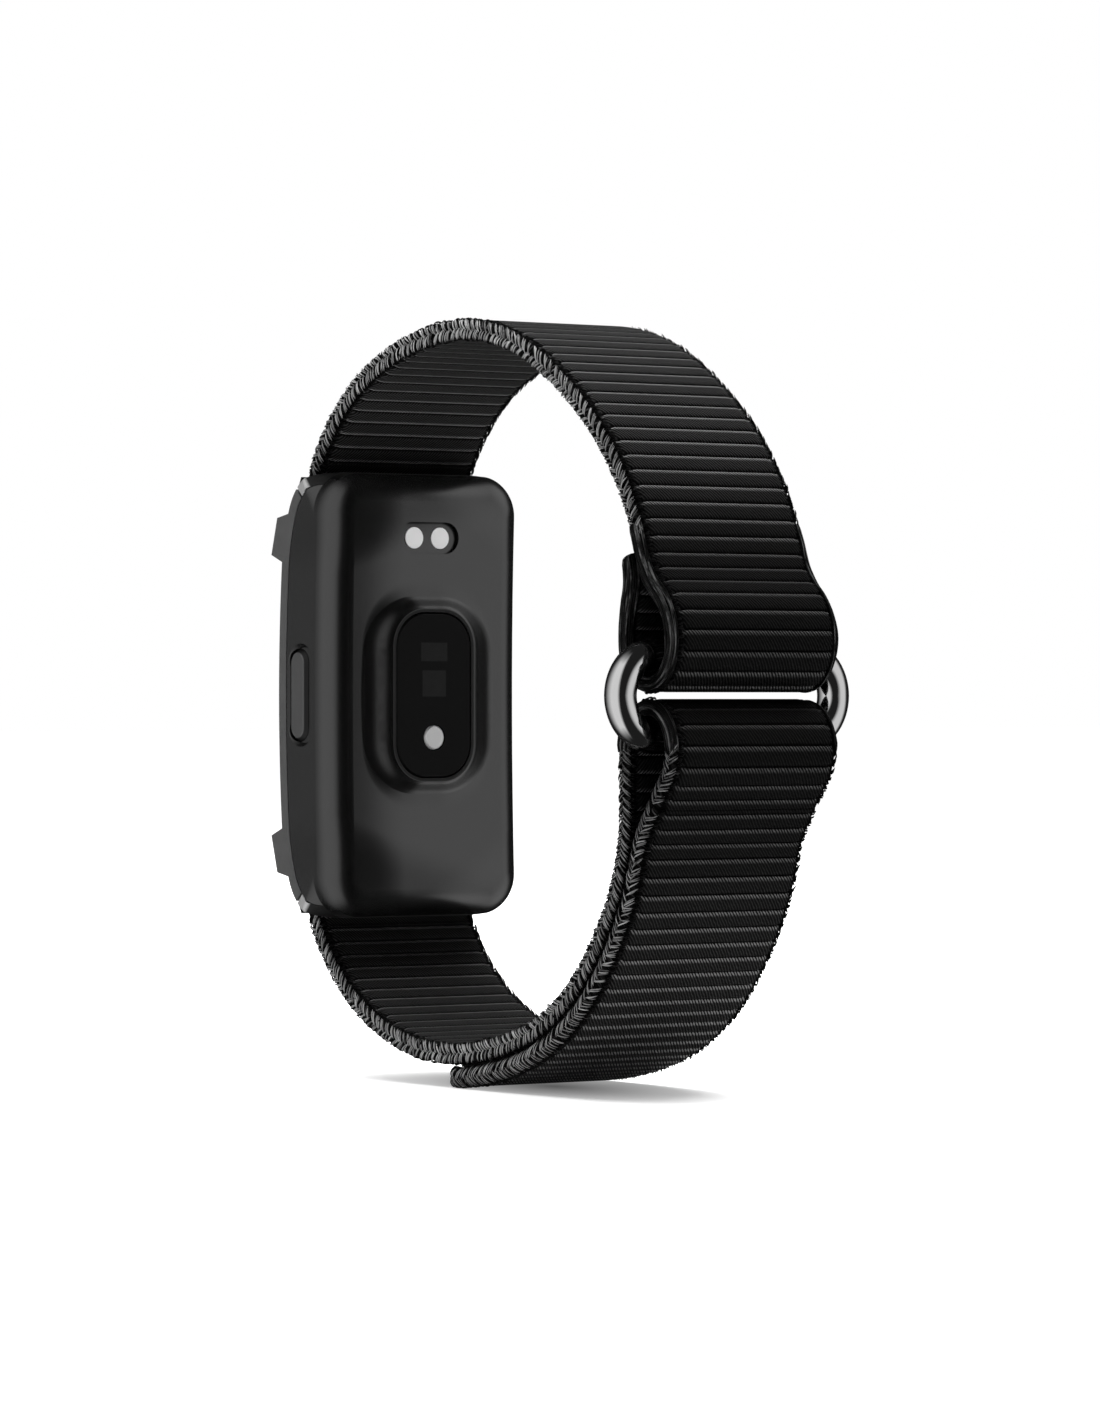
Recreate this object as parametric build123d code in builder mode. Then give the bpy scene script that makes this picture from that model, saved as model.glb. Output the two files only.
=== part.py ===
"""Fitness tracker on a woven pull-through band, modelled as its separate pieces.

Frame: millimetres, +Z up, the band stands closed on the bottom of its strap with the origin on the floor
under the middle of its box. X runs from the tracker (screen facing -X) to the slide ring, and Y runs
across the strap, along the wearer's arm. The side button is on the -Y side.
"""

import os
from math import cos, radians, sin, sqrt

from build123d import *

# ---------------------------------------------------------------------------------- driving dimensions
# Tracker case
case_front = -32.05          # X of the middle of the front face
case_depth = 9.6             # front face to back face, at mid height
case_width = 24.0
case_height = 45.8
case_mid_z = 39.1
half_height = case_height / 2
case_corner = 4.3            # corner radius of the back, seen from behind
front_corner = 1.2           # and of the front
corner_change = 2.0          # depth over which the one becomes the other, just before the back's soft edge
back_hollow = 0.6            # how far the back is dished at mid height
back_round = 2.8             # soft edge round the back
end_wall = 1.3               # wall between the cavity and a strap notch
back_wall = 1.5
side_wall = 2.2
cavity_corner = 1.5
frame_ledge = 0.8            # step in the cavity ends that carries the inner frame
frame_back = 3.65            # depth of that step behind the front face
running_gap = 0.05           # clearance between fitted rigid pieces
seal_gap = 0.15              # thickness of the bonded joint between bezel and case

# Front of the case in side view: (depth behind the front, distance below the top face, heading in degrees)
front_shape = [(0.0, half_height, 90.0), (0.5, 9.9, 85.6), (1.9, 3.8, 68.0), (3.25, 1.75, 45.0)]
top_flat = 3.0               # the top face from its front end to the depth of the back's middle

# Bezel, glass and display
bezel_thickness = 1.3
glass_width = case_width - 4.4
glass_height = case_height - 21.0
glass_corner = 2.0
glass_thickness = 0.8
glass_recess = 0.1
glass_ledge = 0.8
display_thickness = 1.4
cushion_size = (13.0, 16.0)
display_margin = 1.1         # display edge inside the glass edge
display_corner = 0.5
cushion_corner = 1.0
guard_rise = 2.1             # the impact bars above and below the display
guard_inner = half_height - 9.45   # height above mid height of a bar's foot, display side
guard_outer = half_height - 4.1    # the same on the strap side
guard_slope = 1.05           # how much a bar narrows on the display side
guard_slope_outer = 0.5
guard_depth_inner = 0.65     # depth of the bezel's surface beside a bar, display side
guard_depth_outer = 1.75     # the same on the strap side
gasket_land = 1.7

# Strap notches and end links
strap_cheek = 2.0            # case on either side of the strap
strap_width = case_width - 2 * strap_cheek
strap_thickness = 2.0
link_clearance = 0.15
notch_start = half_height - 3.7    # height above mid height where the notch begins
notch_wall = 2.0             # back wall kept behind a notch
exit_depth = 2.65            # where the strap leaves the case
exit_height = half_height - 0.15
exit_heading = 62.5
strap_socket = 1.5           # strap let into its end link
link_lip = 0.25
link_set_back = 0.9          # the lip in front of the strap ends this far before the strap leaves
link_round = 0.5
link_wall = 0.3              # link left under the strap's end
link_plate = 1.3             # the link's plate over the end of the case
link_groove = 0.3            # open joint between the plate and the bezel
link_drop = 0.9              # the link's rear corner below the top face
spring_bar_depth = 5.55
spring_bar_height = half_height - 2.35
spring_bar_radius = 0.75
spring_tip_radius = 0.4
spring_tip_length = 0.9

# Back of the case
island_rise = 1.2
island_flank = 3.2           # slope beside the window
island_ramp = 1.6            # slope above and below the window
island_rim = 0.4
# The slope from the rim out: (share of its width, share of the rise)
island_shape = [(0.0, 1.0), (0.25, 0.72), (0.6, 0.24), (0.95, 0.02), (1.15, -0.08)]
window_width = 9.25
window_height = 17.0
window_corner = 3.5
window_thickness = 0.9
window_ledge = 0.8
disc_radius = 1.27
disc_drop = 4.35             # below the window's middle
disc_proud = 0.08
sensor_chamfer = 0.2
contact_radius = 1.1
contact_spacing = 3.2
contact_height = half_height - 6.7 # above mid height
contact_recess = 0.45
contact_dish = (7.4, 3.25)
contact_head = 0.25
contact_proud = 0.1          # above the floor of its dish
contact_leg_radius = 0.4

# Side button
button_depth = 3.35          # behind the front face
button_length = 9.5
button_width = 3.0
button_travel = 0.35
button_rise = 0.45           # above the floor of its dish
button_bevel = 0.42
dish_length = 10.6
dish_width = 5.0
dish_depth = 0.5
dish_slope = 0.4
flange_rim = 0.35
flange_thickness = 0.45
plunger_radius = 0.6
plunger_length = 0.35
seal_width = 0.25
seal_thickness = 0.6
seal_inset = 0.6

# Inside the case
plate_thickness = 0.6
board_gap = 0.7
board_thickness = 0.8
board_side = 0.3             # board edge to cavity wall
button_bay = 5.8             # half height of the bay left free for the button
cell_gap = 0.55              # battery to board
cell_side = 0.7              # battery to the cavity wall opposite the button
cell_bay = 2.5               # and on the button's side
cell_foot = 1.25             # battery to the lower end of the cavity
cell_head = 12.45            # and to the upper end
cell_corner = 0.8
tape_thickness = 0.2
motor_radius = 4.0
motor_gap = 0.15             # motor to board
motor_side = 0.6             # motor to the side wall
motor_end = 1.1              # motor to the upper end of the cavity
motor_chamfer = 0.3
shield_size = (1.3, 5.6, 8.6)
shield_side = 0.7
shield_end = 3.6
shield_corner = 0.4
sensor_board_thickness = 0.6
sensor_board_margin = 0.5
photodiode_size = (2.9, 2.7)
emitter_size = (3.25, 1.9)
photodiode_z = 1.2
emitter_z = 4.45
flex_thickness = 0.15
flex_side = 0.15             # lead to the motor's side
flex_turn = 1.2
flex_tail = 2.0              # the part of the flexible lead bonded to the sensor board
screw_head_radius = 1.0
screw_head = 0.4
screw_shank_radius = 0.5
screw_inset = 2.2            # screw to the nearest cavity walls
switch_height = 3.4
switch_depth = 1.0

# Strap route, as (x, z, heading) on the middle of the webbing's thickness
top_crown = (-3.0, 75.4, 0.0)
top_shoulder = (19.65, 65.2, -43.0)
fold_stop = (27.43, 53.0, -72.5)   # where the folded-back end is sewn down
bottom_crown = (-6.0, 3.35, 0.0)   # the flap ends under it
bottom_shoulder = (19.05, 13.6, 51.7)
flap_join = (24.5, 24.0, 77.0)     # above it the flap leaves the inner layer
flap_bend = (29.7, 28.7, -125.0)   # the flap turns outwards from here when it is peeled
flap_gap = 0.35
peel_gap = 0.1
flap_tip_corner = 3.0
hook_thickness = 0.28
hook_width = strap_width - 3.0

# Slide ring
ring_x = 28.7
ring_z = 39.0
ring_wire = 1.55             # wire radius
ring_length = strap_width + 8.7
ring_height = 11.1
ring_slack = 0.15            # webbing to wire
ring_play = 0.3              # the lower bar may move this far to either side in its fold
seat_depth = 0.2             # groove worn into a fold, deep enough for the ring's rounded ends
seat_gap = 0.19
fold_slack = 1.2             # free space beside the wire inside a fold
fold_rise = 1.2              # height over which a fold rounds the wire

# ------------------------------------------------------------------------------------- worked-out sizes
case_back = case_front + case_depth
case_top = case_mid_z + half_height
half_strap = strap_thickness / 2
notch_width = strap_width + 2 * link_clearance
notch_back = case_back + back_hollow - notch_wall
cavity_width = case_width - 2 * side_wall
cavity_half = notch_start - end_wall - frame_ledge
cavity_back = case_back - back_wall
ring_half = ring_height / 2 - ring_wire
fold_half = ring_wire + fold_slack + half_strap
fold_reach = ring_wire + ring_slack + half_strap
side_y = -case_width / 2
beyond = case_depth * 2      # cutting bodies reach this far past what they cut


def direction(heading):
    return Vector(cos(radians(heading)), sin(radians(heading)))


def split_spans(stations):
    """Joins stations (x, z, heading) by pairs of tangent arcs: the ends of all arcs, and the headings there."""
    x, z, heading = stations[0]
    points, headings = [Vector(x, z)], [direction(heading)]
    for x, z, heading in stations[1:]:
        start, leave = points[-1], headings[-1]
        end, arrive = Vector(x, z), direction(heading)
        chord = end - start
        along = chord.dot(leave + arrive)
        bend = 1 - leave.dot(arrive)
        if bend < 1e-9:
            reach = chord.dot(chord) / (2 * along)
        else:
            reach = (sqrt(along**2 + 2 * bend * chord.dot(chord)) - along) / (2 * bend)
        near, far = start + leave * reach, end - arrive * reach
        points += [(near + far) * 0.5, end]
        headings += [(far - near).normalized(), arrive]
    return points, headings


def shifted_arcs(stations, shift):
    """Draws the chain of arcs, moved to the left of its headings by shift, and returns its two ends."""
    points, headings = split_spans(stations)
    moved = [p + Vector(-h.Y, h.X) * shift for p, h in zip(points, headings)]
    for start, end, heading in zip(moved, moved[1:], headings):
        chord = end - start
        if abs(heading.X * chord.Y - heading.Y * chord.X) < 1e-6 * chord.length:
            Line(start, end)
        else:
            TangentArc(start, end, tangent=heading)
    return moved[0], moved[-1]


def strip(stations, left, right):
    """The strip between two parallels of a chain of arcs, as a sketch in the band's middle plane."""
    with BuildSketch(Plane.XZ) as outline:
        with BuildLine():
            left_start, left_end = shifted_arcs(stations, left)
            right_start, right_end = shifted_arcs(stations, right)
            Line(left_start, right_start)
            Line(left_end, right_end)
        make_face()
    return outline.sketch


def moved_station(station, shift):
    x, z, heading = station
    left = direction(heading + 90)
    return (x + left.X * shift, z + left.Y * shift, heading)


def mirrored(station):
    """The same station in the other half of the loop, on the way back."""
    x, z, heading = station
    return (x, 2 * case_mid_z - z, 180 - heading)


def turned(station):
    x, z, heading = station
    return (x, z, heading + 180)


def finish(part, label):
    part.part.label = label
    export_step(part.part, f"parts/{label}.step")


os.makedirs("parts", exist_ok=True)

# ------------------------------------------------------------------------------------- tracker outline
front_up = [(case_front + depth, case_top - drop, heading) for depth, drop, heading in front_shape]
front_chain = [mirrored(s) for s in reversed(front_up[1:])] + front_up

top_station = (case_back - top_flat, case_top, 0)
rear_corner = Vector(case_back + back_hollow, case_top)
foot_corner = Vector(case_back + back_hollow, 2 * case_mid_z - case_top)

corner_stop = case_back - back_round - back_round / 10
corner_start = corner_stop - corner_change

with BuildPart() as side_view:
    with BuildSketch(Plane.XZ):
        with BuildLine():
            foot, crown = shifted_arcs([mirrored(top_station)] + front_chain + [top_station], 0)
            Line(crown, rear_corner)
            ThreePointArc(rear_corner, (case_back, case_mid_z), foot_corner)
            Line(foot_corner, foot)
        make_face()
    extrude(amount=case_width / 2, both=True)

with BuildPart() as front_body:
    for x, corner in ((corner_start, front_corner), (corner_stop, case_corner)):
        with BuildSketch(Plane.YZ.offset(x)):
            with Locations((0, case_mid_z)):
                RectangleRounded(case_width, case_height, corner)
    loft()
    extrude(front_body.faces().sort_by(Axis.X)[0], amount=beyond)
    add(side_view.part, mode=Mode.INTERSECT)

with BuildPart() as tracker:
    add(side_view.part)
    with BuildSketch(Plane.YZ.offset(case_front - 1)):
        with Locations((0, case_mid_z)):
            RectangleRounded(case_width, case_height, case_corner)
    extrude(amount=beyond, mode=Mode.INTERSECT)
    fillet(tracker.faces().sort_by(Axis.X)[-1].edges(), back_round)
    add(front_body.part)


def both_ends(stations):
    """A chain of stations at the upper end of the case, and the same at the lower end."""
    return stations, [mirrored(s) for s in reversed(stations)]


def panel(x, width, height, corner, thickness, y=0.0, z=0.0, mode=Mode.ADD):
    """A flat rounded panel facing the screen side, from x towards the back, placed from the case middle."""
    with BuildSketch(Plane.YZ.offset(x)) as outline:
        with Locations((y, case_mid_z + z)):
            RectangleRounded(width, height, corner)
    extrude(outline.sketch, amount=thickness, mode=mode)


def block(x, width, height, thickness, y=0.0, z=0.0, mode=Mode.ADD):
    """The same as a panel, with square corners."""
    with BuildSketch(Plane.YZ.offset(x)) as outline:
        with Locations((y, case_mid_z + z)):
            Rectangle(width, height)
    extrude(outline.sketch, amount=thickness, mode=mode)


def disc(x, radius, thickness, y=0.0, z=0.0, mode=Mode.ADD):
    """A round boss, pin or hole along X."""
    with BuildSketch(Plane.YZ.offset(x)) as outline:
        with Locations((y, case_mid_z + z)):
            Circle(radius)
    extrude(outline.sketch, amount=thickness, mode=mode)


def pill(y, length, width, thickness, mode=Mode.ADD):
    """A slot-ended body on the button's axis, from y inwards, standing upright."""
    with BuildSketch(Plane.XZ.offset(-y)) as outline:
        with Locations((button_x, case_mid_z)):
            SlotOverall(length, width, rotation=90)
    extrude(outline.sketch, amount=-thickness, mode=mode)


def across(x, z, radius, length, mode=Mode.ADD):
    """A round bar or bore along Y, centred on the band's middle plane."""
    with BuildSketch(Plane.XZ) as outline:
        with Locations((x, z)):
            Circle(radius)
    extrude(outline.sketch, amount=length / 2, both=True, mode=mode)


def front_layer(shallow, deep, width, height, corner, mode=Mode.ADD):
    """A rounded panel that follows the curved front between two depths below it."""
    with BuildPart(mode=Mode.PRIVATE) as layer:
        extrude(strip(front_chain, -shallow, -deep), amount=width / 2, both=True)
        with BuildSketch(Plane.YZ.offset(case_front - 1)):
            with Locations((0, case_mid_z)):
                RectangleRounded(width, height, corner)
        extrude(amount=beyond, mode=Mode.INTERSECT)
    add(layer.part, mode=mode)


def notches(start, x_back, width):
    """Cuts both strap notches: open to the front and to the ends, from start above mid height outwards."""
    for side in (-1, 1):
        middle = side * (start + half_height / 2)
        block(x_back, width, half_height, -beyond, z=middle, mode=Mode.SUBTRACT)


button_x = case_front + button_depth
floor_y = side_y + dish_depth
wall_y = -cavity_width / 2
glass_back = glass_recess + glass_thickness
case_layer = bezel_thickness + seal_gap
bar_spots = [(case_front + spring_bar_depth, case_mid_z + s * spring_bar_height) for s in (-1, 1)]

# ------------------------------------------------------------------------------------------- main case
with BuildPart() as main_case:
    add(tracker.part)
    # the bonded bezel takes the front layer
    extrude(strip(front_chain, 1.0, -case_layer), amount=case_width, both=True, mode=Mode.SUBTRACT)
    notches(notch_start, notch_back, notch_width)
    # the plates of the end links cover both ends
    for end in both_ends([front_up[-1], top_station]):
        extrude(strip(end, 1.0, -link_plate - running_gap), amount=case_width, both=True, mode=Mode.SUBTRACT)
    # cavity, with a step at each end for the inner frame
    panel(cavity_back, cavity_width, 2 * cavity_half, cavity_corner, -case_depth, mode=Mode.SUBTRACT)
    step = cavity_half + frame_ledge
    panel(case_front + frame_back, cavity_width, 2 * step, cavity_corner, -case_depth, mode=Mode.SUBTRACT)
    # raised island round the sensor window
    island_top = case_back + island_rise
    for spread, rise in island_shape:
        with BuildSketch(Plane.YZ.offset(case_back + rise * island_rise)):
            with Locations((0, case_mid_z)):
                slope_width = window_width + 2 * (island_rim + spread * island_flank)
                slope_height = window_height + 2 * (island_rim + spread * island_ramp)
                slope_corner = window_corner + island_rim + spread * (island_flank + island_ramp) / 2
                RectangleRounded(slope_width, slope_height, slope_corner)
    loft()
    window_seat = island_top - window_thickness + running_gap
    panel(window_seat, window_width + 2 * running_gap, window_height + 2 * running_gap,
          window_corner + running_gap, island_rise, mode=Mode.SUBTRACT)
    light_width = window_width - 2 * window_ledge
    light_height = window_height - 2 * window_ledge
    light_corner = window_corner - window_ledge
    panel(window_seat, light_width, light_height, light_corner, -back_wall * 2, mode=Mode.SUBTRACT)
    board_seat = cavity_back + sensor_board_thickness + running_gap
    seat_width = light_width + 2 * sensor_board_margin + 2 * running_gap
    seat_height = light_height + 2 * sensor_board_margin + 2 * running_gap
    panel(board_seat, seat_width, seat_height, light_corner, -back_wall, mode=Mode.SUBTRACT)
    # charging contacts: a shallow dish and two bores
    dish_floor = case_back + back_hollow * (contact_height / half_height) ** 2 - contact_recess
    with BuildSketch(Plane.YZ.offset(dish_floor)):
        with Locations((0, case_mid_z + contact_height)):
            SlotOverall(*contact_dish)
    extrude(amount=case_depth, mode=Mode.SUBTRACT)
    contact_bore = contact_radius + running_gap
    for y in (-contact_spacing / 2, contact_spacing / 2):
        disc(case_back, contact_bore, -case_depth / 2, y=y, z=contact_height, mode=Mode.SUBTRACT)
    # side button: dished pocket, guide hole and seal groove
    with BuildSketch(Plane.XZ.offset(-side_y)):
        with Locations((button_x + button_width / 4, case_mid_z)):
            SlotOverall(dish_length, dish_width, rotation=90)
    with BuildSketch(Plane.XZ.offset(-floor_y)):
        with Locations((button_x + button_width / 4, case_mid_z)):
            SlotOverall(dish_length - 2 * dish_slope, dish_width - 2 * dish_slope, rotation=90)
    loft(mode=Mode.SUBTRACT)
    guide, seal_room = 2 * running_gap, 2 * (running_gap + seal_width)
    pill(side_y, button_length + guide, button_width + guide, case_width / 4, mode=Mode.SUBTRACT)
    pill(floor_y + seal_inset, button_length + seal_room, button_width + seal_room, seal_thickness,
         mode=Mode.SUBTRACT)
    # blind holes for the spring-bar tips
    for x, z in bar_spots:
        across(x, z, spring_tip_radius + running_gap, notch_width + 2 * (spring_tip_length + running_gap),
               mode=Mode.SUBTRACT)
finish(main_case, "main_case")

# ------------------------------------------------------------------------- front: bezel, glass, display
with BuildPart() as front_bezel:
    add(tracker.part)
    extrude(strip(front_chain, 1.0, -bezel_thickness), amount=case_width, both=True, mode=Mode.INTERSECT)
    with BuildSketch(Plane.XZ):
        for side in (-1, 1):
            with BuildLine():
                surface_in = case_front + guard_depth_inner
                surface_out = case_front + guard_depth_outer
                foot_in = (surface_in + bezel_thickness / 2, case_mid_z + side * guard_inner)
                foot_out = (surface_out + bezel_thickness / 2, case_mid_z + side * guard_outer)
                tip_out, tip_in = guard_outer - guard_slope_outer, guard_inner + guard_slope
                nose_out = (surface_out - guard_rise, case_mid_z + side * tip_out)
                nose_in = (surface_in - guard_rise, case_mid_z + side * tip_in)
                Polyline(foot_in, foot_out, nose_out, nose_in, close=True)
            make_face()
    extrude(amount=case_width / 2, both=True)
    notches(notch_start, notch_back, notch_width)
    front_layer(-1.0, glass_back, glass_width + 2 * running_gap, glass_height + 2 * running_gap,
                glass_corner + running_gap, mode=Mode.SUBTRACT)
    front_layer(0.0, bezel_thickness + 1, glass_width - 2 * glass_ledge, glass_height - 2 * glass_ledge,
                glass_corner - glass_ledge, mode=Mode.SUBTRACT)
finish(front_bezel, "front_bezel")

with BuildPart() as bezel_gasket:
    front_layer(bezel_thickness, case_layer, case_width - 2 * seal_inset, 2 * (notch_start - seal_inset),
                case_corner - seal_inset)
    front_layer(0, case_layer + 1, cavity_width + 2 * running_gap, 2 * (notch_start - gasket_land), cavity_corner,
                mode=Mode.SUBTRACT)
finish(bezel_gasket, "bezel_gasket")

with BuildPart() as cover_glass:
    front_layer(glass_recess, glass_back, glass_width, glass_height, glass_corner)
finish(cover_glass, "cover_glass")

display_back = glass_back + running_gap + display_thickness
with BuildPart() as display_panel:
    front_layer(glass_back + running_gap, display_back, glass_width - 2 * display_margin,
                glass_height - 2 * display_margin, display_corner)
finish(display_panel, "display_panel")

# ------------------------------------------------------------------------------------ inside the case
plate_x = case_front + frame_back - plate_thickness
board_x = case_front + frame_back + board_gap
board_back = board_x + board_thickness
tape_face = cavity_back - tape_thickness
battery_thickness = tape_face - board_back - cell_gap
battery_width = cavity_width - cell_side - cell_bay
battery_height = 2 * cavity_half - cell_foot - cell_head
battery_y = (cell_bay - cell_side) / 2
battery_z = (cell_foot - cell_head) / 2
motor_y = cavity_width / 2 - motor_side - motor_radius
motor_z = cavity_half - motor_end - motor_radius
board_half = cavity_half - board_side
screw_y = cavity_width / 2 - screw_inset
screw_z = board_half - screw_inset
screw_spots = [(-screw_y, screw_z), (screw_y, -screw_z)]
with BuildPart() as inner_frame:
    plate_width = cavity_width - 2 * running_gap
    panel(plate_x, plate_width, 2 * (step - running_gap), cavity_corner, plate_thickness)
    # bay for the button and its switch
    block(case_front, button_width, 2 * button_bay, beyond, y=wall_y + button_width / 2,
          mode=Mode.SUBTRACT)
    for y, z in screw_spots:
        disc(plate_x + plate_thickness, screw_head_radius, board_gap, y=y, z=z)
        disc(case_front, screw_shank_radius, beyond, y=y, z=z, mode=Mode.SUBTRACT)
finish(inner_frame, "inner_frame")

with BuildPart() as display_cushion:
    sag_depth, sag_drop, _ = front_shape[1]
    edge_sag = sag_depth * (cushion_size[1] / 2 / (half_height - sag_drop)) ** 2
    cushion_x = case_front + display_back + edge_sag + running_gap / 2
    panel(cushion_x, *cushion_size, cushion_corner, plate_x - cushion_x)
finish(display_cushion, "display_cushion")

with BuildPart() as main_board:
    panel(board_x, cavity_width - 2 * board_side, 2 * board_half, cavity_corner, board_thickness)
    notch_depth = flange_rim + button_travel + flange_thickness
    block(case_front, 2 * notch_depth, 2 * button_bay, beyond, y=wall_y, mode=Mode.SUBTRACT)
    for y, z in screw_spots:
        disc(case_front, screw_shank_radius, beyond, y=y, z=z, mode=Mode.SUBTRACT)
finish(main_board, "main_board")

with BuildPart() as board_screws:
    shank = board_thickness + board_gap + plate_thickness
    for y, z in screw_spots:
        disc(board_back, screw_head_radius, screw_head, y=y, z=z)
        disc(board_back, screw_shank_radius, -shank, y=y, z=z)
finish(board_screws, "board_screws")

with BuildPart() as shield_can:
    shield_height, shield_width, shield_length = shield_size
    shield_y = (shield_width - cavity_width) / 2 + shield_side
    shield_z = cavity_half - shield_end - shield_length / 2
    panel(board_back, shield_width, shield_length, shield_corner, shield_height, y=shield_y, z=shield_z)
finish(shield_can, "shield_can")

with BuildPart() as battery:
    panel(tape_face, battery_width, battery_height, cell_corner, -battery_thickness,
          y=battery_y, z=battery_z)
finish(battery, "battery")

with BuildPart() as battery_tape:
    low = battery_z - battery_height / 2
    room = -seat_height / 2 - low
    block(cavity_back, battery_width - 2 * cell_corner, room - cell_corner, -tape_thickness, y=battery_y,
          z=low + room / 2)
finish(battery_tape, "battery_tape")

with BuildPart() as vibration_motor:
    disc(tape_face, motor_radius, board_back + motor_gap - tape_face, y=motor_y, z=motor_z)
    chamfer(vibration_motor.faces().sort_by(Axis.X)[0].edges(), motor_chamfer)
finish(vibration_motor, "vibration_motor")

with BuildPart() as motor_tape:
    disc(cavity_back, motor_radius - motor_chamfer, -tape_thickness, y=motor_y, z=motor_z)
finish(motor_tape, "motor_tape")

# ---------------------------------------------------------------------------------- optical sensor
with BuildPart() as sensor_window:
    window_back = island_top - window_thickness + running_gap
    panel(window_back, window_width, window_height, window_corner, window_thickness)
    chamfer(sensor_window.faces().sort_by(Axis.X)[-1].edges(), sensor_chamfer)
    disc(case_front, disc_radius + running_gap, beyond, z=-disc_drop, mode=Mode.SUBTRACT)
finish(sensor_window, "sensor_window")

with BuildPart() as skin_contact:
    disc(window_back, disc_radius, window_thickness + disc_proud, z=-disc_drop)
    chamfer(skin_contact.faces().sort_by(Axis.X)[-1].edges(), sensor_chamfer)
finish(skin_contact, "skin_contact")

sensor_board_x = board_seat - sensor_board_thickness
package_room = window_back - board_seat
with BuildPart() as sensor_board:
    panel(sensor_board_x, seat_width - 2 * running_gap, seat_height - 2 * running_gap,
          window_corner - window_ledge, sensor_board_thickness)
finish(sensor_board, "sensor_board")

with BuildPart() as photodiode:
    block(board_seat, *photodiode_size, package_room - running_gap, z=photodiode_z)
finish(photodiode, "photodiode")

with BuildPart() as light_emitters:
    block(board_seat, *emitter_size, package_room - running_gap, z=emitter_z)
finish(light_emitters, "light_emitters")

with BuildPart() as contact_spring:
    disc(board_seat, disc_radius / 2, package_room, z=-disc_drop)
finish(contact_spring, "contact_spring")

with BuildPart() as sensor_flex:
    foot_x = sensor_board_x - flex_thickness
    flex_bend = case_mid_z + seat_height / 2 - flex_turn / 2
    flex_route = [(foot_x, flex_bend - flex_tail, 90), (foot_x, flex_bend, 90),
                  (foot_x - flex_turn, flex_bend + flex_turn, 180),
                  (board_back, flex_bend + flex_turn, 180)]
    flex_half = motor_y - motor_radius - flex_side
    extrude(strip(flex_route, 0, -flex_thickness), amount=flex_half, both=True)
finish(sensor_flex, "sensor_flex")

# --------------------------------------------------------------------------------- charging contacts
with BuildPart() as charging_contacts:
    pin_foot = cavity_back - contact_head
    for y in (-contact_spacing / 2, contact_spacing / 2):
        disc(pin_foot, contact_radius, dish_floor + contact_proud - pin_foot, y=y, z=contact_height)
        disc(pin_foot, contact_leg_radius, board_back - pin_foot, y=y, z=contact_height)
finish(charging_contacts, "charging_contacts")

# --------------------------------------------------------------------------------------- side button
flange_y = wall_y + running_gap
with BuildPart() as side_button:
    cap_y = floor_y - button_rise
    pill(cap_y, button_length, button_width, flange_y + flange_thickness - cap_y)
    chamfer(side_button.faces().sort_by(Axis.Y)[0].edges(), button_bevel)
    pill(flange_y, button_length + 2 * flange_rim, button_width + 2 * flange_rim, flange_thickness)
    with BuildSketch(Plane.XZ.offset(-flange_y - flange_thickness)):
        with Locations((button_x, case_mid_z)):
            Circle(plunger_radius)
    extrude(amount=-plunger_length)
finish(side_button, "side_button")

with BuildPart() as button_seal:
    seal_y = floor_y + seal_inset + running_gap / 2
    seal_length, seal_across = button_length + 2 * seal_width, button_width + 2 * seal_width
    pill(seal_y, seal_length, seal_across, seal_thickness - running_gap)
    pill(side_y, button_length + running_gap, button_width + running_gap, beyond, mode=Mode.SUBTRACT)
finish(button_seal, "button_seal")

switch_y = flange_y + flange_thickness + plunger_length + button_travel + running_gap / 2
with BuildPart() as button_switch:
    with BuildSketch(Plane.XZ.offset(-switch_y)):
        with Locations((board_x, case_mid_z)):
            Rectangle(board_x - plate_x, switch_height, align=(Align.MAX, Align.CENTER))
    extrude(amount=-switch_depth)
finish(button_switch, "button_switch")

# --------------------------------------------------------------------- spring bars and their end links
exit_top = (case_front + exit_depth, case_mid_z + exit_height, exit_heading)
exit_foot = (exit_top[0], case_mid_z - exit_height, -exit_heading)


def socket_station(station):
    x, z, heading = station
    back = direction(heading) * strap_socket
    return (x - back.X, z - back.Y, heading)


groove_x, groove_z, groove_heading = front_up[-1]
groove = direction(groove_heading) * link_groove
plate_start = (groove_x + groove.X, groove_z + groove.Y, groove_heading)
plate_ends = both_ends([plate_start, (top_station[0] - running_gap, case_top, 0)])

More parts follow.
